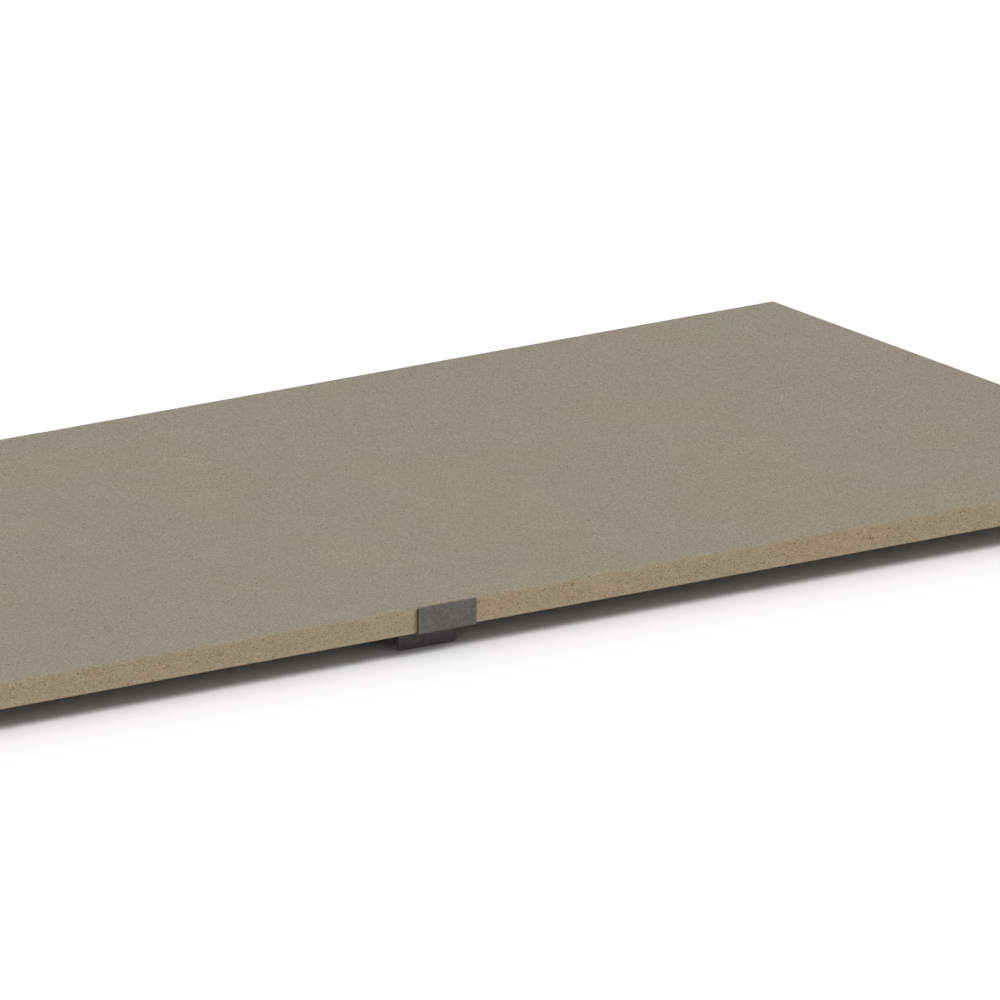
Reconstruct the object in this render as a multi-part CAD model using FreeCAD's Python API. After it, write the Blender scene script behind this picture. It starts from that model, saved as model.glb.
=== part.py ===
import FreeCAD, Part
import os

# Chipboard deck for a pallet rack: a single thick panel, with a folded steel clip at the middle of each
# long edge that keeps it from sliding. A clip's upstand covers the panel's edge, its web lies flat under
# the panel, and its leg hangs down from the web's inner end and hooks behind what the deck rests on.
# Each clip is held by two countersunk screws, driven up through its web into the panel.
# Millimetres. +X runs along the panel, +Y from the front edge to the rear one, +Z up. The origin is under
# the middle of the deck, level with the lower ends of the clips' legs.

# Chipboard panel
PANEL_LENGTH = 2670.0
PANEL_DEPTH = 1092.0
PANEL_THICKNESS = 38.0
PANEL_ARRIS = 0.5       # narrow flat sanded on every edge

# Folded clip
CLIP_WIDTH = 100.0
CLIP_SHEET = 2.5
CLIP_SPAN = 51.0        # from the upstand's outer face to the leg, 1 mm of play over a 50 mm seat
CLIP_BEND = 1.5         # inside radius of both folds
CLIP_STANDOFF = 1.5     # between the upstand and the panel's edge, room for the fold
CLIP_TOP_GAP = 1.2      # the upstand stops this far below the deck's face
CLIP_LEG_DROP = 35.0    # leg below the underside of the web
UPSTAND_CORNER = 1.0
LEG_CORNER = 6.0

# Countersunk chipboard screw, with a cross recess
SCREW_LENGTH = 30.0
SCREW_SHANK_RADIUS = 2.0
SCREW_HEAD_RADIUS = 4.0
SCREW_HEAD_RIM = 0.3
SCREW_HEAD_SUNK = 0.2   # head's face above the underside of the web
SCREW_POINT = 4.5
SCREW_TIP_RADIUS = 0.2
SCREW_SPACING = 60.0
SCREW_SETBACK = 25.0    # from the upstand's outer face
RECESS_DEPTH = 1.9
RECESS_MOUTH_SPAN = 4.4
RECESS_MOUTH_SLOT = 1.3
RECESS_FLOOR_SPAN = 2.4
RECESS_FLOOR_SLOT = 0.8
CLIP_HOLE_RADIUS = 2.25

# Levels and faces that follow from these
WEB_BOTTOM = CLIP_LEG_DROP
PANEL_BOTTOM = WEB_BOTTOM + CLIP_SHEET
UPSTAND_TOP = PANEL_BOTTOM + PANEL_THICKNESS - CLIP_TOP_GAP
UPSTAND_BACK = -PANEL_DEPTH / 2 - CLIP_STANDOFF
UPSTAND_FRONT = UPSTAND_BACK - CLIP_SHEET
LEG_FRONT = UPSTAND_FRONT + CLIP_SPAN
LEG_BACK = LEG_FRONT + CLIP_SHEET
SCREW_LINE = UPSTAND_FRONT + SCREW_SETBACK
HEAD_FACE = WEB_BOTTOM + SCREW_HEAD_SUNK

ORIGIN = FreeCAD.Vector(0, 0, 0)
UP = FreeCAD.Vector(0, 0, 1)
ON_EDGE = 1e-6


def edges_through(solid, points):
    """The edges of a solid that pass through the given points."""
    vertices = [Part.Vertex(point) for point in points]
    return [edge for edge in solid.Edges if any(edge.distToShape(v)[0] < ON_EDGE for v in vertices)]


def make_screw():
    """Countersunk screw standing on its head at the origin, turned from its half outline, recess cut out."""
    neck = SCREW_HEAD_RIM + SCREW_HEAD_RADIUS - SCREW_SHANK_RADIUS
    outline = [
        (0, 0),
        (SCREW_HEAD_RADIUS, 0),
        (SCREW_HEAD_RADIUS, SCREW_HEAD_RIM),
        (SCREW_SHANK_RADIUS, neck),
        (SCREW_SHANK_RADIUS, SCREW_LENGTH - SCREW_POINT),
        (SCREW_TIP_RADIUS, SCREW_LENGTH),
        (0, SCREW_LENGTH),
        (0, 0),
    ]
    half = Part.Face(Part.makePolygon([FreeCAD.Vector(radius, 0, z) for radius, z in outline]))
    blank = half.revolve(ORIGIN, UP, 360)
    mouth = cross_outline(RECESS_MOUTH_SPAN, RECESS_MOUTH_SLOT, 0)
    floor = cross_outline(RECESS_FLOOR_SPAN, RECESS_FLOOR_SLOT, RECESS_DEPTH)
    return blank.cut(Part.makeLoft([mouth, floor], True, True))


def cross_outline(span, slot, z):
    """Level outline of a cross with four equal arms."""
    reach = span / 2
    half = slot / 2
    arm = [(half, half), (reach, half), (reach, -half)]
    points = []
    for _ in range(4):
        points += [FreeCAD.Vector(x, y, z) for x, y in arm]
        arm = [(y, -x) for x, y in arm]
    return Part.makePolygon(points + points[:1])


def make_front_clip():
    """Sheet strip folded in under the panel and then down into its leg, with two countersunk holes."""
    left = -CLIP_WIDTH / 2
    section = [
        (UPSTAND_FRONT, UPSTAND_TOP),
        (UPSTAND_FRONT, WEB_BOTTOM),
        (LEG_FRONT, WEB_BOTTOM),
        (LEG_FRONT, 0),
        (LEG_BACK, 0),
        (LEG_BACK, PANEL_BOTTOM),
        (UPSTAND_BACK, PANEL_BOTTOM),
        (UPSTAND_BACK, UPSTAND_TOP),
        (UPSTAND_FRONT, UPSTAND_TOP),
    ]
    face = Part.Face(Part.makePolygon([FreeCAD.Vector(left, y, z) for y, z in section]))
    clip = face.extrude(FreeCAD.Vector(CLIP_WIDTH, 0, 0))
    folds = [
        (CLIP_BEND, [(UPSTAND_BACK, PANEL_BOTTOM), (LEG_FRONT, WEB_BOTTOM)]),
        (CLIP_BEND + CLIP_SHEET, [(UPSTAND_FRONT, WEB_BOTTOM), (LEG_BACK, PANEL_BOTTOM)]),
    ]
    for radius, lines in folds:
        clip = clip.makeFillet(radius, edges_through(clip, [FreeCAD.Vector(0, y, z) for y, z in lines]))
    corners = [
        (UPSTAND_CORNER, (UPSTAND_FRONT + UPSTAND_BACK) / 2, UPSTAND_TOP),
        (LEG_CORNER, (LEG_FRONT + LEG_BACK) / 2, 0),
    ]
    for radius, y, z in corners:
        ends = [FreeCAD.Vector(x, y, z) for x in (left, -left)]
        clip = clip.makeFillet(radius, edges_through(clip, ends))
    mouth_radius = SCREW_HEAD_RADIUS + SCREW_HEAD_SUNK + SCREW_HEAD_RIM
    seat_depth = mouth_radius - CLIP_HOLE_RADIUS
    for x in (-SCREW_SPACING / 2, SCREW_SPACING / 2):
        mouth = FreeCAD.Vector(x, SCREW_LINE, WEB_BOTTOM)
        clip = clip.cut(Part.makeCone(mouth_radius, CLIP_HOLE_RADIUS, seat_depth, mouth, UP))
        clip = clip.cut(Part.makeCylinder(CLIP_HOLE_RADIUS, CLIP_SHEET, mouth, UP))
    return clip


def make_panel(screws):
    """Chipboard slab with its arrises sanded off, drilled where the screws go in."""
    corner = FreeCAD.Vector(-PANEL_LENGTH / 2, -PANEL_DEPTH / 2, PANEL_BOTTOM)
    slab = Part.makeBox(PANEL_LENGTH, PANEL_DEPTH, PANEL_THICKNESS, corner)
    return slab.makeChamfer(PANEL_ARRIS, slab.Edges).cut(screws)


front_clip = make_front_clip()
nodes = {
    "front_clip": front_clip,
    "rear_clip": front_clip.rotated(ORIGIN, UP, 180),
}
screw = make_screw()
screws = {}
for edge, line in (("front", SCREW_LINE), ("rear", -SCREW_LINE)):
    for side, offset in (("left", -SCREW_SPACING / 2), ("right", SCREW_SPACING / 2)):
        screws[f"{edge}_clip_{side}_screw"] = screw.translated(FreeCAD.Vector(offset, line, HEAD_FACE))
nodes.update(screws)
nodes["chipboard_panel"] = make_panel(list(screws.values()))

os.makedirs("parts", exist_ok=True)
for name, shape in nodes.items():
    shape.exportStep(f"parts/{name}.step")
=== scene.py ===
import bpy
import numpy as np
from mathutils import Matrix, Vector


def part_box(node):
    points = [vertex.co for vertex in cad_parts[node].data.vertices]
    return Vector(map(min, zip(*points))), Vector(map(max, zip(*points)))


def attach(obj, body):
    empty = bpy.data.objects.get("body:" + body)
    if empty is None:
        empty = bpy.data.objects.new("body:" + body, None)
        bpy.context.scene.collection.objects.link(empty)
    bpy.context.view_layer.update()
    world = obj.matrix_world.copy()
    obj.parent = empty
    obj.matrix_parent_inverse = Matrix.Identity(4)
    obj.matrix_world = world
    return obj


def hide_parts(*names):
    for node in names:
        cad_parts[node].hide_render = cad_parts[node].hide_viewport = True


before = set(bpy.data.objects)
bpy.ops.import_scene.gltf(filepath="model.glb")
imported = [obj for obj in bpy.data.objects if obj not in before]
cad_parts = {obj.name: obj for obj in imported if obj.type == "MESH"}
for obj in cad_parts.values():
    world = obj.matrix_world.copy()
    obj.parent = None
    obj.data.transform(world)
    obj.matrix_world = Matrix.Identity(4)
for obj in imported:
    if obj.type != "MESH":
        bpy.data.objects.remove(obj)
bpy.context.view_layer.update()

# Chipboard panel: wood particles pressed with resin into one thick board, fine in the face layers and
# coarser in the core. The faces are sanded. The edges are sawn, so cut particles and small voids show
# there, darkened with painted shade, and the arrises crumble a little. It is drilled from below for the
# clips' screws.

MM = 0.001
PANEL_SEED = 38
EDGE_COLUMN = 2.3 * MM          # mesh step along the sawn edges
EDGE_ROW = 1.9 * MM             # mesh step down the sawn edges
CORNER_RADIUS = 1.0 * MM        # of the board's four upright corners
CORNER_STEPS = 4
CORNER_KEPT = 0.6               # crumbling and pits go no deeper there than this share of the radius
ARRIS_RADIUS = 0.45 * MM        # where nothing has crumbled
ARRIS_STEPS = 3
ARRIS_CRUMBLE = 0.12 * MM       # usual extra rounding
ARRIS_SMOOTHING = 2             # times that its noise is averaged
BREAKOUTS = 90                  # round each face
BREAKOUT_REACH = (2 * MM, 6 * MM)
BREAKOUT_DEPTH = (0.2 * MM, 0.8 * MM)
FACE_LAYER = 4.5 * MM           # fine particles under each sanded face
FACE_RELIEF = 0.025 * MM        # usual roughness of the sawn edges there
CORE_RELIEF = 0.075 * MM        # and between the face layers
RELIEF_SMOOTHING = 1            # times that its noise is averaged
PITS = 1500                     # in the four edges together
PIT_REACH = (1.0 * MM, 3.0 * MM)
PIT_DEPTH = (0.25 * MM, 1.1 * MM)
PIT_FLATNESS = 1.6              # a pit's length over its height
PIT_MARGIN = 2                  # mesh rows without pits beside each arris
FACE_PIT_SHARE = 0.35           # depth of a pit in the face layers over one in the core
FACE_BORDER = 15 * MM           # fine mesh of the edge fades into the plain face over this width
FACE_CELL = 60 * MM             # mesh step of the plain face
HOLE_CELL = 6 * MM              # half width of the square of face round a drilled hole
HOLE_RADIUS = 2.0 * MM
HOLE_POINT = 4.5 * MM           # tapered end of the hole
HOLE_END_RADIUS = 0.2 * MM
HOLE_SEGMENTS = 24
LINE_DECIMALS = 6               # grid lines of the faces are told apart to a thousandth of a millimetre
LAYOUT_GAP = 10 * MM            # between faces, edges and holes in the flat layout of the board's surface
LAYOUT_LINES = 5                # the edges lie there in lines as long as the board
SCREW_NODES = ("front_clip_left_screw", "front_clip_right_screw",
               "rear_clip_left_screw", "rear_clip_right_screw")

panel_low, panel_high = (np.array(corner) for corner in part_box("chipboard_panel"))
panel_thickness = panel_high[2] - panel_low[2]
panel_rng = np.random.default_rng(PANEL_SEED)


def board_outline():
    """Path round the board, anticlockwise from above, and the outward direction at each of its points.
    The path is a rectangle, set in from the edges by the corner radius, in equal steps. Its corner points
    repeat while the direction turns a quarter circle, so point + radius x direction is the rounded
    outline."""
    reach = (panel_high - panel_low)[:2] / 2 - CORNER_RADIUS
    corners = (panel_low + panel_high)[:2] / 2 + reach * np.array([(-1, -1), (1, -1), (1, 1), (-1, 1)])
    turn = np.arange(CORNER_STEPS)[:, None] / CORNER_STEPS * np.pi / 2
    points = []
    outward = []
    for start, end in zip(corners, np.roll(corners, -1, axis=0)):
        length = np.linalg.norm(end - start)
        steps = round(length / EDGE_COLUMN)
        along = (end - start) / length
        across = np.array([along[1], -along[0]])
        straight = start + np.arange(steps)[:, None] / steps * (end - start)
        points += [straight, np.tile(end, (CORNER_STEPS, 1))]
        outward += [np.tile(across, (steps, 1)), np.cos(turn) * across + np.sin(turn) * along]
    return np.concatenate(points), np.concatenate(outward)


def smooth_noise(rows, columns, passes):
    """Normal random numbers, averaged with their neighbours in this many passes and scaled back to a
    spread of 1. The columns close in a ring."""
    field = panel_rng.normal(size=(rows, columns))
    for _ in range(passes):
        field = field + np.roll(field, 1, axis=1) + np.roll(field, -1, axis=1)
        padded = np.pad(field, ((1, 1), (0, 0)), mode="edge")
        field = padded[:-2] + padded[1:-1] + padded[2:]
    return field / field.std()


def crumbled_arris(columns):
    """Rounding radius along one arris: the usual radius plus noise where that is positive, or plus the
    half ellipse of a breakout where that is more."""
    crumble = np.maximum(smooth_noise(1, columns, ARRIS_SMOOTHING)[0], 0)
    radius = ARRIS_RADIUS + ARRIS_CRUMBLE * crumble
    centre = panel_rng.integers(0, columns, BREAKOUTS)
    reach = panel_rng.uniform(*BREAKOUT_REACH, BREAKOUTS) / EDGE_COLUMN
    depth = panel_rng.uniform(*BREAKOUT_DEPTH, BREAKOUTS)
    columns_each_way = int(np.ceil(reach.max()))
    offset = np.arange(-columns_each_way, columns_each_way + 1)[:, None]
    bite = depth * np.sqrt(np.maximum(1 - (offset / reach) ** 2, 0))
    np.maximum.at(radius, (centre + offset) % columns, ARRIS_RADIUS + bite)
    return radius


def sawn_relief(drop, columns):
    """How far the sawn face lies below its flat, by row and column: noise, cut off where it stands proud
    and stronger in the core than in the face layers, and half-ellipsoid pits where particles were torn
    out. The core takes over evenly between a half and one and a half of the face layer's depth. A pit
    takes in one mesh point and those next to it."""
    depth_in = np.minimum(drop, panel_thickness - drop)
    core = np.clip((depth_in - FACE_LAYER / 2) / FACE_LAYER, 0, 1)[:, None]
    rough = FACE_RELIEF + (CORE_RELIEF - FACE_RELIEF) * core
    relief = rough * np.maximum(1 + smooth_noise(len(drop), columns, RELIEF_SMOOTHING), 0)
    row = panel_rng.integers(PIT_MARGIN, len(drop) - PIT_MARGIN, PITS)
    column = panel_rng.integers(0, columns, PITS)
    reach = panel_rng.uniform(*PIT_REACH, PITS)
    depth = panel_rng.uniform(*PIT_DEPTH, PITS) * (FACE_PIT_SHARE + (1 - FACE_PIT_SHARE) * core[row, 0])
    up, along = (grid[..., None] for grid in np.mgrid[-1:2, -1:2])
    away = (up * EDGE_ROW / reach * PIT_FLATNESS) ** 2 + (along * EDGE_COLUMN / reach) ** 2
    pit = depth * np.sqrt(np.maximum(1 - away, 0))
    np.maximum.at(relief, (row + up, (column + along) % columns), pit)
    return relief


def board_edge():
    """The four edges as one band: rows go down from the top face to the underside, columns round the
    outline. A point lies in from the outline by the arris's rounding, r (1 - sin t), and the relief, and
    its drop below the face is r (1 - cos t) on the arris and even steps on the wall. Also gives how torn
    each point is, which is its relief over the deepest pit's."""
    points, outward = board_outline()
    columns = len(points)
    turn = np.linspace(0, np.pi / 2, ARRIS_STEPS + 1)[:, None]
    top, bottom = crumbled_arris(columns), crumbled_arris(columns)
    wall_rows = round(panel_thickness / EDGE_ROW)
    wall = np.arange(1, wall_rows) / wall_rows * panel_thickness
    drop = np.concatenate([
        top * (1 - np.cos(turn)),
        np.tile(wall[:, None], columns),
        panel_thickness - (bottom * (1 - np.cos(turn)))[::-1],
    ])
    inset = np.concatenate([
        top * (1 - np.sin(turn)),
        np.zeros((len(wall), columns)),
        (bottom * (1 - np.sin(turn)))[::-1],
    ])
    share = np.concatenate([np.sin(turn), np.ones((len(wall), 1)), np.sin(turn)[::-1]])
    relief = share * sawn_relief(drop.mean(axis=1), columns)
    inset += relief
    turning = ~np.isclose(np.abs(outward).min(axis=1), 0)
    inset = np.where(turning, np.minimum(inset, CORNER_KEPT * CORNER_RADIUS), inset)
    out = points + outward * (CORNER_RADIUS - inset)[..., None]
    return np.concatenate([out, (panel_high[2] - drop)[..., None]], axis=2), relief / PIT_DEPTH[1]


def stitch(fine, coarse, nearest):
    """Triangles between a finely divided ring and a coarser one. Each fine step makes one with the
    coarse point nearest to its start, and one more closes the gap wherever the nearest point changes."""
    following = np.roll(fine, -1)
    changed = np.roll(nearest, -1)
    fans = np.stack([fine, following, coarse[nearest]], axis=1)
    closers = np.stack([following, coarse[changed], coarse[nearest]], axis=1)
    return np.concatenate([fans, closers[nearest != changed]])


def face_lines(low, high, marks):
    """Grid lines over one direction of a face: even steps inside its border, and the hole cells' sides."""
    low, high = low + FACE_BORDER, high - FACE_BORDER
    even = np.linspace(low, high, round((high - low) / FACE_CELL) + 1)
    sides = np.concatenate([marks - HOLE_CELL, marks + HOLE_CELL])
    clear = np.abs(even[:, None] - sides).min(axis=1) > HOLE_CELL
    clear[[0, -1]] = True
    return np.unique(np.round(np.concatenate([even[clear], sides]), LINE_DECIMALS))


screw_places = np.array([np.add(*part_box(node))[:2] / 2 for node in SCREW_NODES])
hole_end = max(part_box(node)[1][2] for node in SCREW_NODES)
holes_x, holes_y = (np.unique(np.round(places, LINE_DECIMALS)) for places in screw_places.T)
lines_x = face_lines(panel_low[0], panel_high[0], holes_x)
lines_y = face_lines(panel_low[1], panel_high[1], holes_y)

edge_points, edge_torn = board_edge()
edge_rows, edge_columns = edge_torn.shape
edge_index = np.arange(edge_torn.size).reshape(edge_torn.shape)
next_column = np.roll(edge_index, -1, axis=1)
edge_faces = np.stack([
    edge_index[:-1],
    edge_index[1:],
    next_column[1:],
    next_column[:-1],
], axis=2).reshape(-1, 4)

grid_x, grid_y = np.meshgrid(lines_x, lines_y)
face_index = np.arange(grid_x.size).reshape(grid_x.shape)
face_ring = np.concatenate([
    face_index[0],
    face_index[1:, -1],
    face_index[-1, -2::-1],
    face_index[-2:0:-1, 0],
])
ring_places = np.stack([grid_x, grid_y], axis=-1).reshape(-1, 2)[face_ring]
nearest = np.linalg.norm(edge_points[0, :, None, :2] - ring_places, axis=2).argmin(axis=1)
cells = np.stack([
    face_index[:-1, :-1],
    face_index[:-1, 1:],
    face_index[1:, 1:],
    face_index[1:, :-1],
], axis=2)
drilled_row = np.searchsorted(lines_y, screw_places[:, 1]) - 1
drilled_column = np.searchsorted(lines_x, screw_places[:, 0]) - 1
drilled = np.zeros(cells.shape[:2], bool)
drilled[drilled_row, drilled_column] = True

top_start = edge_index.size
under_start = top_start + face_index.size
hole_start = under_start + face_index.size
top_points = np.stack([grid_x, grid_y, np.full_like(grid_x, panel_high[2])], axis=-1).reshape(-1, 3)
under_points = top_points * (1, 1, 0) + (0, 0, panel_low[2])

hole_profile = np.array([
    (HOLE_RADIUS, panel_low[2]),
    (HOLE_RADIUS, hole_end - HOLE_POINT),
    (HOLE_END_RADIUS, hole_end),
])
hole_count = len(screw_places)
hole_angle = (np.arange(HOLE_SEGMENTS) + 0.5) / HOLE_SEGMENTS * 2 * np.pi - np.pi
hole_round = np.stack([np.cos(hole_angle), np.sin(hole_angle)], axis=1)
wall_places = screw_places[:, None, None] + hole_profile[:, None, :1] * hole_round
wall_heights = np.broadcast_to(hole_profile[:, None, 1:], wall_places.shape[:3] + (1,))
wall_points = np.concatenate([wall_places, wall_heights], axis=3).reshape(hole_count, -1, 3)
end_points = np.concatenate([screw_places, np.full((hole_count, 1), hole_end)], axis=1)[:, None]
hole_points = np.concatenate([wall_points, end_points], axis=1)
hole_index = np.arange(hole_count * hole_points.shape[1]).reshape(hole_count, -1) + hole_start
rings = hole_index[:, :-1].reshape(hole_count, -1, HOLE_SEGMENTS)
turned = np.roll(rings, -1, axis=2)
ends = np.broadcast_to(hole_index[:, -1:], rings[:, -1].shape)
# each quarter of a hole's rim joins the corner of its cell on that side
nearest_corner = np.arange(HOLE_SEGMENTS) * 4 // HOLE_SEGMENTS

board_parts = (edge_points, top_points, under_points, hole_points)
board_points = np.concatenate([part.reshape(-1, 3) for part in board_parts])
top_faces = [cells.reshape(-1, 4) + top_start, stitch(edge_index[0], face_ring + top_start, nearest)]
under_faces = [
    cells[~drilled][:, ::-1] + under_start,
    stitch(edge_index[-1], face_ring + under_start, nearest)[:, ::-1],
    *(stitch(ring[0], cell + under_start, nearest_corner) for ring, cell in zip(rings, cells[drilled])),
]
hole_faces = [
    np.stack([rings[:, :-1], rings[:, 1:], turned[:, 1:], turned[:, :-1]], axis=3).reshape(-1, 4),
    np.stack([turned[:, -1], rings[:, -1], ends], axis=2).reshape(-1, 3),
]


def flat_layout(faces, corner, rightwards):
    """A face laid flat from this corner. Rightwards is 1 along the board, or -1 where seen from below."""
    return [board_points[part.ravel(), :2] * (rightwards, 1) - panel_low[:2] + corner for part in faces]


def edge_layout(corner):
    """The band of edges cut into lines as long as the board, stacked up from this corner. Rows and columns
    have even steps, so the narrow arrises are drawn wider than they are."""
    row, column = np.mgrid[:edge_rows - 1, :edge_columns]
    line_columns = int(np.ceil(edge_columns / LAYOUT_LINES))
    step = (panel_high - panel_low)[0] / line_columns
    height = panel_thickness * step / EDGE_COLUMN
    line, along = np.divmod(column, line_columns)
    right = (along[..., None] + (0, 0, 1, 1)) * step
    down = (row[..., None] + (0, 1, 1, 0)) / (edge_rows - 1)
    up = line[..., None] * (height + LAYOUT_GAP) + (1 - down) * height
    return np.stack([right, up], axis=-1).reshape(-1, 2) + corner, LAYOUT_LINES * (height + LAYOUT_GAP)


def hole_layout(corner):
    """The holes unrolled side by side from this corner, round to the right and into the board upwards."""
    hole, ring, segment = np.mgrid[:hole_count, :len(hole_profile) - 1, :HOLE_SEGMENTS][..., None]
    girth = 2 * np.pi * HOLE_RADIUS
    depth = hole_profile[:, 1] - panel_low[2]
    start = hole * (girth + LAYOUT_GAP)
    walls = np.stack([
        start + (1 - (segment + (0, 0, 1, 1)) / HOLE_SEGMENTS) * girth,
        depth[ring + (0, 1, 1, 0)] + 0 * start,
    ], axis=-1)
    fan_right = (start + (1 - (segment + (1, 0, 0.5)) / HOLE_SEGMENTS) * girth)[:, -1]
    fan_up = depth[-1] + HOLE_END_RADIUS * np.array([0, 0, 1])
    fans = np.stack([fan_right, np.broadcast_to(fan_up, fan_right.shape)], axis=-1)
    return [walls.reshape(-1, 2) + corner, fans.reshape(-1, 2) + corner]


def add_piece(name, points, faces, smooth):
    """New object from an array of points and a list of arrays of quads or triangles, smooth or flat."""
    mesh = bpy.data.meshes.new(name)
    sizes = np.concatenate([np.full(len(part), part.shape[1]) for part in faces])
    mesh.vertices.add(len(points))
    mesh.vertices.foreach_set("co", np.ascontiguousarray(points, np.float32).ravel())
    mesh.loops.add(int(sizes.sum()))
    corners = np.concatenate([part.ravel() for part in faces])
    mesh.loops.foreach_set("vertex_index", corners.astype(np.int32))
    mesh.polygons.add(len(sizes))
    mesh.polygons.foreach_set("loop_start", (np.cumsum(sizes) - sizes).astype(np.int32))
    shading = [np.full(len(part), is_smooth) for part, is_smooth in zip(faces, smooth)]
    mesh.polygons.foreach_set("use_smooth", np.concatenate(shading))
    mesh.update(calc_edges=True)
    mesh.validate()
    piece = bpy.data.objects.new(name, mesh)
    bpy.context.scene.collection.objects.link(piece)
    return piece


layout_gap = np.array([LAYOUT_GAP, LAYOUT_GAP])
face_step = (0, (panel_high - panel_low)[1] + LAYOUT_GAP)
edge_places, edge_height = edge_layout(layout_gap)
top_corner = layout_gap + (0, edge_height)
layout = np.concatenate([
    edge_places,
    *flat_layout(top_faces, top_corner, 1),
    *flat_layout(under_faces, top_corner + face_step, -1),
    *hole_layout(top_corner + face_step + face_step),
])
layout_side = (panel_high - panel_low)[0] + 2 * LAYOUT_GAP
torn = np.zeros(len(board_points), np.float32)
torn[:edge_torn.size] = edge_torn.ravel()

board_faces = [edge_faces, *top_faces, *under_faces, *hole_faces]
board_smooth = [faces is edge_faces for faces in board_faces]
board = add_piece("chipboard_board", board_points, board_faces, board_smooth)
# the torn attribute sets how much painted shade the material puts in each pit
board.data.attributes.new("torn", "FLOAT", "POINT").data.foreach_set("value", torn)
board_map = board.data.uv_layers.new(name="OFBake")
board_map.uv.foreach_set("vector", (layout / layout_side).astype(np.float32).ravel())


def add_node(tree, kind, values=None, **settings):
    """Adds a shader node with these settings, and sets or links its inputs."""
    made = tree.nodes.new("ShaderNode" + kind)
    for name, value in settings.items():
        setattr(made, name, value)
    for socket, value in (values or {}).items():
        if isinstance(value, bpy.types.NodeSocket):
            tree.links.new(value, made.inputs[socket])
        else:
            made.inputs[socket].default_value = value
    return made


def reckon(tree, operation, *values):
    """Output of a Math node."""
    return add_node(tree, "Math", dict(enumerate(values)), operation=operation).outputs[0]


def blend_values(tree, share, first, second):
    """First value where the share is 0, second where it is 1."""
    return add_node(tree, "Mix", {0: share, 2: first, 3: second}, data_type="FLOAT").outputs[0]


def blend_colours(tree, share, first, second, way="MIX"):
    """First colour where the share is 0, second where it is 1, or both mixed there in another way."""
    made = add_node(tree, "Mix", {0: share, 6: first, 7: second}, data_type="RGBA", blend_type=way)
    return made.outputs[2]


def noise(tree, place, size, detail):
    """Noise node with marks of about this size and this many finer layers."""
    return add_node(tree, "TexNoise", {"Vector": place, "Scale": 1 / size, "Detail": detail})


def add_spread(tree, tone, number, contrast):
    """Tone + (number - 1/2) x contrast."""
    return reckon(tree, "MULTIPLY_ADD", reckon(tree, "SUBTRACT", number, 0.5), contrast, tone)


def colour_ramp(tree, position, *stops):
    """Colour that follows a value through the given stops, each a position and a linear colour."""
    made = add_node(tree, "ValToRGB", {0: position})
    elements = made.color_ramp.elements
    for _ in stops[2:]:
        elements.new(0.5)
    for element, (at, colour) in zip(elements, stops):
        element.position = at
        element.color = (*colour, 1)
    return made.outputs[0]


def new_material(name):
    """Material with an empty node tree but for its shader and output."""
    material = bpy.data.materials.new(name)
    material.use_nodes = True
    tree = material.node_tree
    return material, tree, tree.nodes["Principled BSDF"]


CHIP_SIZE = np.array([2.1, 0.85, 0.75]) * MM    # along, across and through a chip of the face layers
FLAKE_SIZE = np.array([2.7, 1.4, 0.9]) * MM     # the same for a coarse chip, found in the core only
CHIP_LAYS = (0.35, 1.40, 2.45)                  # chips lie flat, turned by one of these angles
FLAKE_LAYS = (0.90, 2.50)
FLAKE_SHARE = 0.3                               # of the core
BARK_SIZE = np.array([2.6, 2.0, 1.6]) * MM      # of the odd larger speck of bark
BARK_LAY = 1.9
BARK_SHARE = 0.002                              # of all places
BARK_TONE = 0.04
FRAY = (1.2 * MM, 1.0)                          # size and detail of the ragged steps in a chip's outline
FRAY_REACH = 0.9 * MM
FIBRE = (0.45 * MM, 2.0)                        # size and detail of the fibres in a chip
MOTTLE = (90 * MM, 4.0)                         # the same of patches lighter or darker than the rest
CAST = (260 * MM, 3.0)                          # the same of patches of slightly different colour
SANDED_DEPTH = 0.3 * MM                         # how far below a face the sanded colours go
GRAIN_DEPTH = 0.25 * MM
FIBRE_RELIEF = 0.5                              # height of the fibres over that of the chips
SANDED_GRAIN, SAWN_GRAIN = 0.15, 0.6            # how far the grain is left standing
SANDED_MOTTLE, SAWN_MOTTLE = 0.06, 0.02         # spread of tone from place to place
FIBRE_CONTRAST = 0.24
PIT_PAINTED_SHADE = 0.3                                # painted shade: fall of tone in the deepest pits
SAME_HUE = 0.5                                  # leaves a colour's hue as it is
SANDED_HUES, SAWN_HUES = 0.03, 0.055            # spread from chip to chip as a share of the colour wheel
CASTS = (                                       # ends of the slow changes of colour, as factors
    ((0.945, 1.0, 1.044, 1), (1.055, 1.0, 0.956, 1)),       # cold to warm
    ((1.015, 0.950, 1.025, 1), (0.985, 1.050, 0.975, 1)),   # reddish to greenish
)
ROUGHNESS = (0.72, 0.88)
GLOSS = 0.2
# tone of a chip by its random number: a few are bark, a few are pale splinters
CHIP_TONES = ((0.0, 0.05), (0.018, 0.09), (0.028, 0.32), (0.975, 0.68), (0.985, 0.80), (1.0, 0.84))
SANDED_COLOURS = (
    (0.0, (0.059, 0.044, 0.026)),
    (0.5, (0.264, 0.231, 0.166)),
    (1.0, (0.555, 0.525, 0.443)),
)
SAWN_COLOURS = (
    (0.0, (0.061, 0.040, 0.021)),
    (0.5, (0.332, 0.261, 0.175)),
    (0.7, (0.431, 0.354, 0.257)),
    (1.0, (0.70, 0.62, 0.50)),
)


def chip_numbers(tree, place, size, turn):
    """Random numbers, three to a chip, as a colour. The chips are the cells of random points, stretched to
    this size and turned about the vertical."""
    turned = add_node(tree, "VectorRotate", {"Vector": place, "Angle": turn}, rotation_type="Z_AXIS")
    factors = {0: turned.outputs[0], 1: tuple(1 / size)}
    scaled = add_node(tree, "VectorMath", factors, operation="MULTIPLY")
    return add_node(tree, "TexVoronoi", {"Vector": scaled.outputs[0], "Scale": 1.0}).outputs["Color"]


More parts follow.
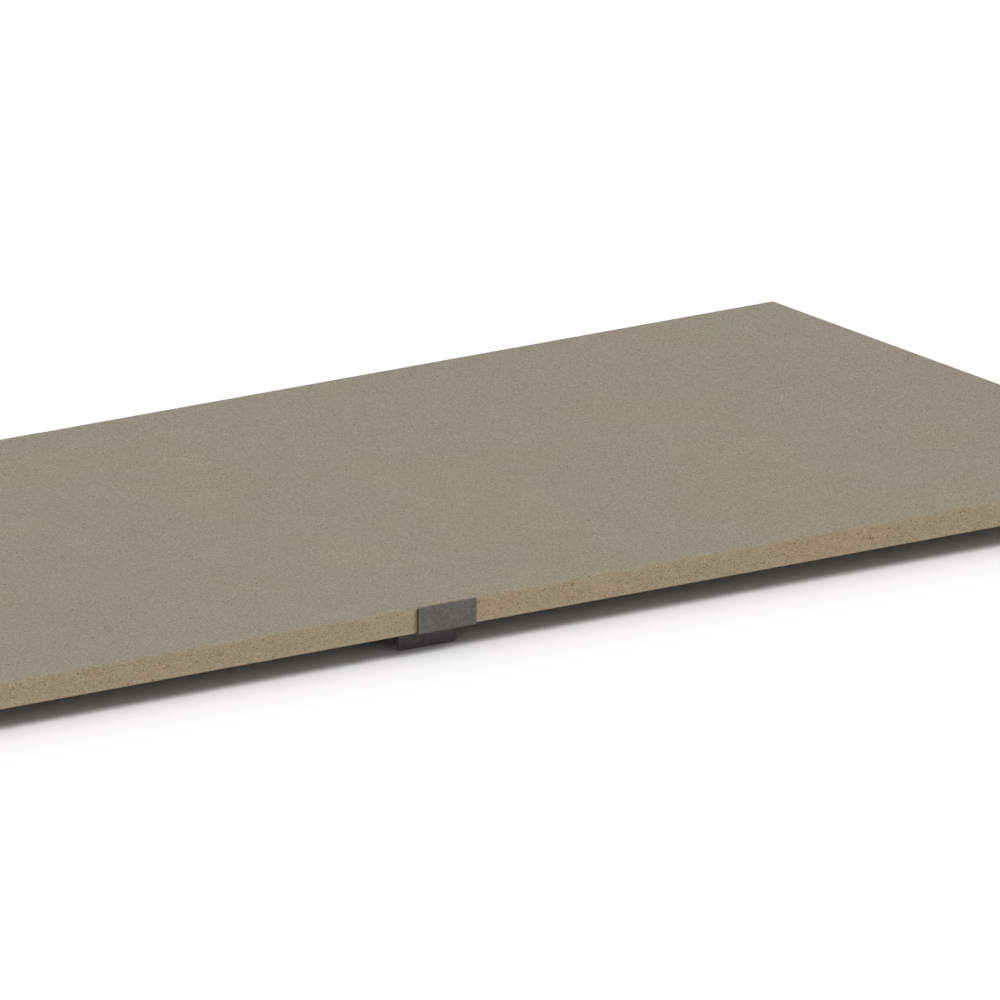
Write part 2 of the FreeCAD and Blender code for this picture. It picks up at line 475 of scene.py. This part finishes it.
def mixed_chips(tree, place, size, lays):
    """The numbers of chips that lie several ways. Each further lay covers the earlier ones where its
    chips' second number is below one part in as many lays, so that all have an even share."""
    shown = chip_numbers(tree, place, size, lays[0])
    for count, turn in enumerate(lays[1:], 2):
        chip = chip_numbers(tree, place, size, turn)
        second = add_node(tree, "SeparateColor", {0: chip}).outputs[1]
        over = reckon(tree, "LESS_THAN", second, 1 / count)
        shown = blend_colours(tree, over, shown, chip)
    return shown


def chipboard_material():
    """Solid of ragged chips, with coarse flakes among them in the core and the odd larger speck of bark.
    A tone is added up from the chip's own, fine fibres and a slow mottle, less a painted shade in the
    pits by how deep the saw tore, and looked up in the sanded or the sawn colours by height. The hue then
    changes a little from chip to chip, and a slow cast from place to place makes the board warmer or
    colder, redder or greener."""
    material, tree, shader = new_material("raw chipboard")
    place = add_node(tree, "TexCoord").outputs["Object"]
    height = add_node(tree, "SeparateXYZ", {0: place}).outputs[2]
    middle = (panel_low[2] + panel_high[2]) / 2
    off_middle = reckon(tree, "ABSOLUTE", reckon(tree, "SUBTRACT", height, middle))
    below_face = reckon(tree, "SUBTRACT", panel_thickness / 2, off_middle)
    sanded = reckon(tree, "LESS_THAN", below_face, SANDED_DEPTH)

    fray = noise(tree, place, *FRAY).outputs["Color"]
    shift = {0: fray, 1: (FRAY_REACH,) * 3, 2: place}
    frayed = add_node(tree, "VectorMath", shift, operation="MULTIPLY_ADD").outputs[0]
    chips = mixed_chips(tree, frayed, CHIP_SIZE, CHIP_LAYS)
    flakes = mixed_chips(tree, frayed, FLAKE_SIZE, FLAKE_LAYS)
    flake_number = add_node(tree, "SeparateColor", {0: flakes}).outputs[2]
    core = reckon(tree, "GREATER_THAN", below_face, FACE_LAYER)
    coarse = reckon(tree, "MULTIPLY", core, reckon(tree, "LESS_THAN", flake_number, FLAKE_SHARE))
    chips = blend_colours(tree, coarse, chips, flakes)
    number, _, lie = add_node(tree, "SeparateColor", {0: chips}).outputs
    specks = chip_numbers(tree, frayed, BARK_SIZE, BARK_LAY)
    speck_number = add_node(tree, "SeparateColor", {0: specks}).outputs[0]
    bark = reckon(tree, "LESS_THAN", speck_number, BARK_SHARE)

    fibre = noise(tree, place, *FIBRE).outputs[0]
    shade = noise(tree, place, *MOTTLE).outputs[0]
    torn = add_node(tree, "Attribute", attribute_name="torn").outputs["Fac"]
    tone = colour_ramp(tree, number, *((at, (grey,) * 3) for at, grey in CHIP_TONES))
    tone = blend_values(tree, bark, tone, BARK_TONE)
    tone = add_spread(tree, tone, fibre, FIBRE_CONTRAST)
    tone = add_spread(tree, tone, shade, blend_values(tree, sanded, SAWN_MOTTLE, SANDED_MOTTLE))
    # painted shade in the sawn pits: the tone falls with how deep the saw tore
    tone = reckon(tree, "MULTIPLY_ADD", torn, -PIT_PAINTED_SHADE, tone)
    sanded_colour = colour_ramp(tree, tone, *SANDED_COLOURS)
    sawn_colour = colour_ramp(tree, tone, *SAWN_COLOURS)
    colour = blend_colours(tree, sanded, sawn_colour, sanded_colour)
    hue = add_spread(tree, SAME_HUE, lie, blend_values(tree, sanded, SAWN_HUES, SANDED_HUES))
    colour = add_node(tree, "HueSaturation", {"Hue": hue, "Color": colour}).outputs[0]
    cast = noise(tree, place, *CAST).outputs["Color"]
    for share, ends in zip(add_node(tree, "SeparateColor", {0: cast}).outputs, CASTS):
        factor = blend_colours(tree, share, *ends)
        colour = blend_colours(tree, 1.0, colour, factor, "MULTIPLY")
    tree.links.new(colour, shader.inputs["Base Color"])

    tree.links.new(blend_values(tree, lie, *ROUGHNESS), shader.inputs["Roughness"])
    shader.inputs["Specular IOR Level"].default_value = GLOSS
    bump = add_node(tree, "Bump", {
        "Height": reckon(tree, "MULTIPLY_ADD", fibre, FIBRE_RELIEF, lie),
        "Distance": GRAIN_DEPTH,
        "Strength": blend_values(tree, sanded, SAWN_GRAIN, SANDED_GRAIN),
    })
    tree.links.new(bump.outputs[0], shader.inputs["Normal"])
    return material


board.data.materials.append(chipboard_material())
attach(board, "root")
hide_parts("chipboard_panel")

# Clips: strips of 2.5 mm sheet steel, punched, countersunk and folded twice, with a matt dark grey coat.
# The upstand covers the panel's edge, the web is screwed under the panel and the leg hangs down from it.

CLIP_COLOURS = (
    (0.0, (0.038, 0.034, 0.030)),
    (0.5, (0.090, 0.081, 0.071)),
    (1.0, (0.190, 0.176, 0.161)),
)
CLIP_TONE = 0.5                         # of the plain coat, between the darkest colour and the palest
COAT_MARKS = (                          # size, detail and contrast of the marks in the coat
    (0.45 * MM, 2.0, 1.0),              # speckle
    (2.6 * MM, 1.0, 0.68),              # patches
    (14 * MM, 2.0, 0.3),                # clouds
)
COAT_ROUGHNESS = (0.5, 0.7)
COAT_GLOSS = 0.35
COAT_GRAIN_DEPTH = 0.05 * MM
COAT_GRAIN = 0.4
SHEET_ROUNDING = 0.35 * MM              # of the punched edges, under the coat
ROUNDING_SAMPLES = 4


def coated_steel_material():
    """Matt coat with a fine speckle over patches a few millimetres across and a slow cloudiness. They add
    up to the tone of its colour, and the speckle sets its roughness and grain too."""
    material, tree, shader = new_material("matt grey coat")
    place = add_node(tree, "TexCoord").outputs["Object"]
    marks = [noise(tree, place, size, detail).outputs[0] for size, detail, _ in COAT_MARKS]
    tone = CLIP_TONE
    for mark, (_, _, contrast) in zip(marks, COAT_MARKS):
        tone = add_spread(tree, tone, mark, contrast)
    tree.links.new(colour_ramp(tree, tone, *CLIP_COLOURS), shader.inputs["Base Color"])
    speckle = marks[0]
    tree.links.new(blend_values(tree, speckle, *COAT_ROUGHNESS), shader.inputs["Roughness"])
    shader.inputs["Specular IOR Level"].default_value = COAT_GLOSS
    rounded = add_node(tree, "Bevel", {"Radius": SHEET_ROUNDING}, samples=ROUNDING_SAMPLES)
    bump = add_node(tree, "Bump", {
        "Height": speckle,
        "Distance": COAT_GRAIN_DEPTH,
        "Strength": COAT_GRAIN,
        "Normal": rounded.outputs[0],
    })
    tree.links.new(bump.outputs[0], shader.inputs["Normal"])
    return material


clip_coat = coated_steel_material()
for clip in ("front_clip", "rear_clip"):
    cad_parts[clip].material_slots[0].material = clip_coat

# Screws: four countersunk chipboard screws of hardened steel, bright zinc plated, with a cross recess
# and a coarse sharp thread. Each is driven up through a clip's web into the panel until its head sits
# in the countersink.

RECESS_DEPTH = 1.9 * MM
RECESS_MOUTH = (2.2 * MM, 0.65 * MM)    # reach and half width of a slot
RECESS_FLOOR = (1.2 * MM, 0.40 * MM)
HEAD_RIM = 0.3 * MM
HEAD_ROUND = 0.12 * MM
HEAD_ROUND_STEPS = 2
SHANK_RADIUS = 2.0 * MM
CORE_SHARE = 0.64                       # thread's root as a share of its crest
THREAD_PITCH = 1.8 * MM
THREAD_CREST = 0.24                     # half width of the ridge as a share of the pitch
THREAD_START = 3.2 * MM                 # above the head's face
THREAD_ROWS = 10                        # rows to a turn
POINT_LENGTH = 4.5 * MM
POINT_RADIUS = 0.2 * MM
ARM_STEPS = 3                           # mesh steps over each arm's end and each of its flanks
SHARP_EDGE = np.radians(35)


def cross_ring(reach, half):
    """Angles and radii of a four-armed cross: along each arm's end the radius is reach / cos, and along
    its two flanks half / sin, from the arm's corner to the inner corner at 45 degrees."""
    corner = np.arctan2(half, reach)
    steps = np.arange(3 * ARM_STEPS)
    knots = np.arange(4) * ARM_STEPS
    angle = np.interp(steps, knots, [-corner, corner, np.pi / 4, np.pi / 2 - corner])
    on_end = steps <= ARM_STEPS
    fold = np.where(angle > np.pi / 4, np.pi / 2 - angle, angle)
    radius = np.where(on_end, reach / np.cos(angle), half / np.sin(np.where(on_end, 1, fold)))
    quarter = np.arange(4)[:, None] * np.pi / 2
    return (angle + quarter).ravel(), np.tile(radius, 4)


def screw_points(place, length, head_radius):
    """Rings from the recess's floor out over the head and up the thread to the point. On the thread the
    radius is the root plus a ridge, which is a triangle in height turned round the axis once a pitch."""
    angle, mouth = cross_ring(*RECESS_MOUTH)
    floor_angle, floor = cross_ring(*RECESS_FLOOR)
    rows = round((length - THREAD_START) / THREAD_PITCH * THREAD_ROWS)
    height = np.linspace(THREAD_START, length, rows)[:, None]
    point = POINT_RADIUS + (length - height) * (SHANK_RADIUS - POINT_RADIUS) / POINT_LENGTH
    crest = np.minimum(SHANK_RADIUS, point)
    phase = (height / THREAD_PITCH - angle / (2 * np.pi)) % 1
    ridge = np.maximum(1 - np.abs(phase - 0.5) / THREAD_CREST, 0)
    run_in = np.clip((height - THREAD_START) / THREAD_PITCH, 0, 1)
    run_out = np.clip((length - height) / THREAD_PITCH, 0, 1)
    thread = crest * (CORE_SHARE + (1 - CORE_SHARE) * ridge * (run_in * run_out))
    root = SHANK_RADIUS * CORE_SHARE
    turn = np.linspace(0, np.pi / 2, HEAD_ROUND_STEPS + 1)
    rim_radius = head_radius - HEAD_ROUND * (1 - np.sin(turn))
    rim = np.stack([rim_radius, HEAD_ROUND * (1 - np.cos(turn))], axis=1)
    head = np.array([*rim, (head_radius, HEAD_RIM), (root, HEAD_RIM + head_radius - root)])
    even = np.ones_like(angle)
    radii = np.concatenate([[floor, mouth], head[:, :1] * even, thread])
    heights = np.concatenate([[RECESS_DEPTH * even, 0 * even], head[:, 1:] * even, height * even])
    angles = np.concatenate([[floor_angle], np.tile(angle, (len(radii) - 1, 1))])
    rings = np.stack([radii * np.cos(angles), radii * np.sin(angles), heights], axis=2).reshape(-1, 3)
    return place + np.concatenate([rings, [(0, 0, RECESS_DEPTH), (0, 0, length)]]), len(angle)


def ring_faces(points, around):
    """Quads from ring to ring, and fans that close the first ring and the last on the two end points."""
    index = np.arange(len(points) - 2).reshape(-1, around)
    turned = np.roll(index, -1, axis=1)
    first, last = (np.full(around, len(points) - back) for back in (2, 1))
    return [
        np.stack([index[:-1], turned[:-1], turned[1:], index[1:]], axis=2).reshape(-1, 4),
        np.stack([first, turned[0], index[0]], axis=1),
        np.stack([index[-1], turned[-1], last], axis=1),
    ]


ZINC_COLOURS = ((0.0, (0.40, 0.40, 0.41)), (1.0, (0.68, 0.68, 0.69)))
ZINC_ROUGHNESS = (0.2, 0.45)
ZINC_SPANGLE = (0.7 * MM, 3.0)          # size and detail of its patches


def zinc_material():
    """Bright zinc plate with small patches of slightly different tone and polish."""
    material, tree, shader = new_material("bright zinc plate")
    place = add_node(tree, "TexCoord").outputs["Object"]
    patch = noise(tree, place, *ZINC_SPANGLE).outputs[0]
    tree.links.new(colour_ramp(tree, patch, *ZINC_COLOURS), shader.inputs["Base Color"])
    tree.links.new(blend_values(tree, patch, *ZINC_ROUGHNESS), shader.inputs["Roughness"])
    shader.inputs["Metallic"].default_value = 1.0
    return material


zinc = zinc_material()
for node in SCREW_NODES:
    low, high = (np.array(corner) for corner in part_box(node))
    foot = np.array([*(low + high)[:2] / 2, low[2]])
    points, around = screw_points(foot, high[2] - low[2], (high[0] - low[0]) / 2)
    faces = ring_faces(points, around)
    screw = add_piece(node.replace("_screw", "_threaded_screw"), points, faces, [True, False, False])
    screw.data.set_sharp_from_angle(angle=SHARP_EDGE)
    screw.data.materials.append(zinc)
    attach(screw, "root")
    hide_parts(node)

# Floor: a plain sheet of matt white board, far wider than the view. The deck stands on it by its clips'
# legs, and nothing but the deck's soft shadow shows on it.

FLOOR_REACH = 30.0
WHITE = (1, 1, 1, 1)
FLOOR_BOUNCE = (0.8, 0.8, 0.8, 1)       # share of the light that it throws back at the deck
sides = np.array([(-1, -1, 0), (1, -1, 0), (1, 1, 0), (-1, 1, 0)])
floor = add_piece("floor", sides * FLOOR_REACH, [np.array([[0, 1, 2, 3]])], [False])


def seen_directly(tree):
    """1 for rays from the eye, straight or by way of gloss or glass, and 0 for light that is passed on."""
    path = add_node(tree, "LightPath").outputs
    mirrored = reckon(tree, "MAXIMUM", path["Is Glossy Ray"], path["Is Transmission Ray"])
    return reckon(tree, "MAXIMUM", path["Is Camera Ray"], mirrored)


def floor_material():
    """Matt white to the eye, and a little less bright for the light that it throws back at the deck."""
    material = bpy.data.materials.new("white sheet")
    material.use_nodes = True
    tree = material.node_tree
    tree.nodes.remove(tree.nodes["Principled BSDF"])
    colour = blend_colours(tree, seen_directly(tree), FLOOR_BOUNCE, WHITE)
    matt = add_node(tree, "BsdfDiffuse", {"Color": colour})
    tree.links.new(matt.outputs[0], tree.nodes["Material Output"].inputs["Surface"])
    return material


floor.data.materials.append(floor_material())

# Light: an even white room, which the eye sees as plain white, and one broad soft lamp, high to the front
# and right of the deck. Together they light a level face so that its colour shows about as it is written.

ROOM_LIGHT = 0.58
LAMP_STRENGTH = 1.95
LAMP_SPREAD = np.radians(24)
LAMP_FROM = np.array([0.52, -0.50, 0.70])

scene = bpy.context.scene
room = bpy.data.worlds.new("white room")
room.use_nodes = True
tree = room.node_tree
strength = blend_values(tree, seen_directly(tree), ROOM_LIGHT, 1.0)
backdrop = tree.nodes["Background"]
backdrop.inputs["Color"].default_value = WHITE
tree.links.new(strength, backdrop.inputs["Strength"])
scene.world = room

lamp = bpy.data.objects.new("lamp", bpy.data.lights.new("lamp", "SUN"))
lamp.data.energy = LAMP_STRENGTH
lamp.data.angle = LAMP_SPREAD
scene.collection.objects.link(lamp)


def aim(item, direction):
    """Turns a lamp or a camera to look against the given direction, with its top up."""
    back = direction / np.linalg.norm(direction)
    right = np.cross((0, 0, 1), back)
    right = right / np.linalg.norm(right)
    turn = np.stack([right, np.cross(back, right), back], axis=1)
    item.rotation_euler = Matrix(turn.tolist()).to_euler()
    return back


aim(lamp, LAMP_FROM)

# Camera: far off with a long lens, because the view is close to parallel. It looks down on the deck from
# the front and the left, and takes in the front clip and the rear right corner.

VIEW_TARGET = np.array([0.3788, -0.13525, 0.0755])      # in the middle of the view
VIEW_AZIMUTH = np.radians(-34.815)
VIEW_ELEVATION = np.radians(15.141)
VIEW_WIDTH = 1.42846                                    # at the target
HALF_ANGLE = 0.011                                      # between the middle and the side of the view
SENSOR_WIDTH = 36.0
FAR_CLIP = 200.0

camera = bpy.data.objects.new("camera", bpy.data.cameras.new("camera"))
camera.data.sensor_width = SENSOR_WIDTH
camera.data.lens = SENSOR_WIDTH / 2 / np.tan(HALF_ANGLE)
camera.data.clip_end = FAR_CLIP
level = np.cos(VIEW_ELEVATION)
back = aim(camera, np.array([
    np.sin(VIEW_AZIMUTH) * level,
    -np.cos(VIEW_AZIMUTH) * level,
    np.sin(VIEW_ELEVATION),
]))
camera.location = VIEW_TARGET + back * VIEW_WIDTH / 2 / np.tan(HALF_ANGLE)
scene.collection.objects.link(camera)
scene.camera = camera
scene.view_settings.view_transform = "Standard"
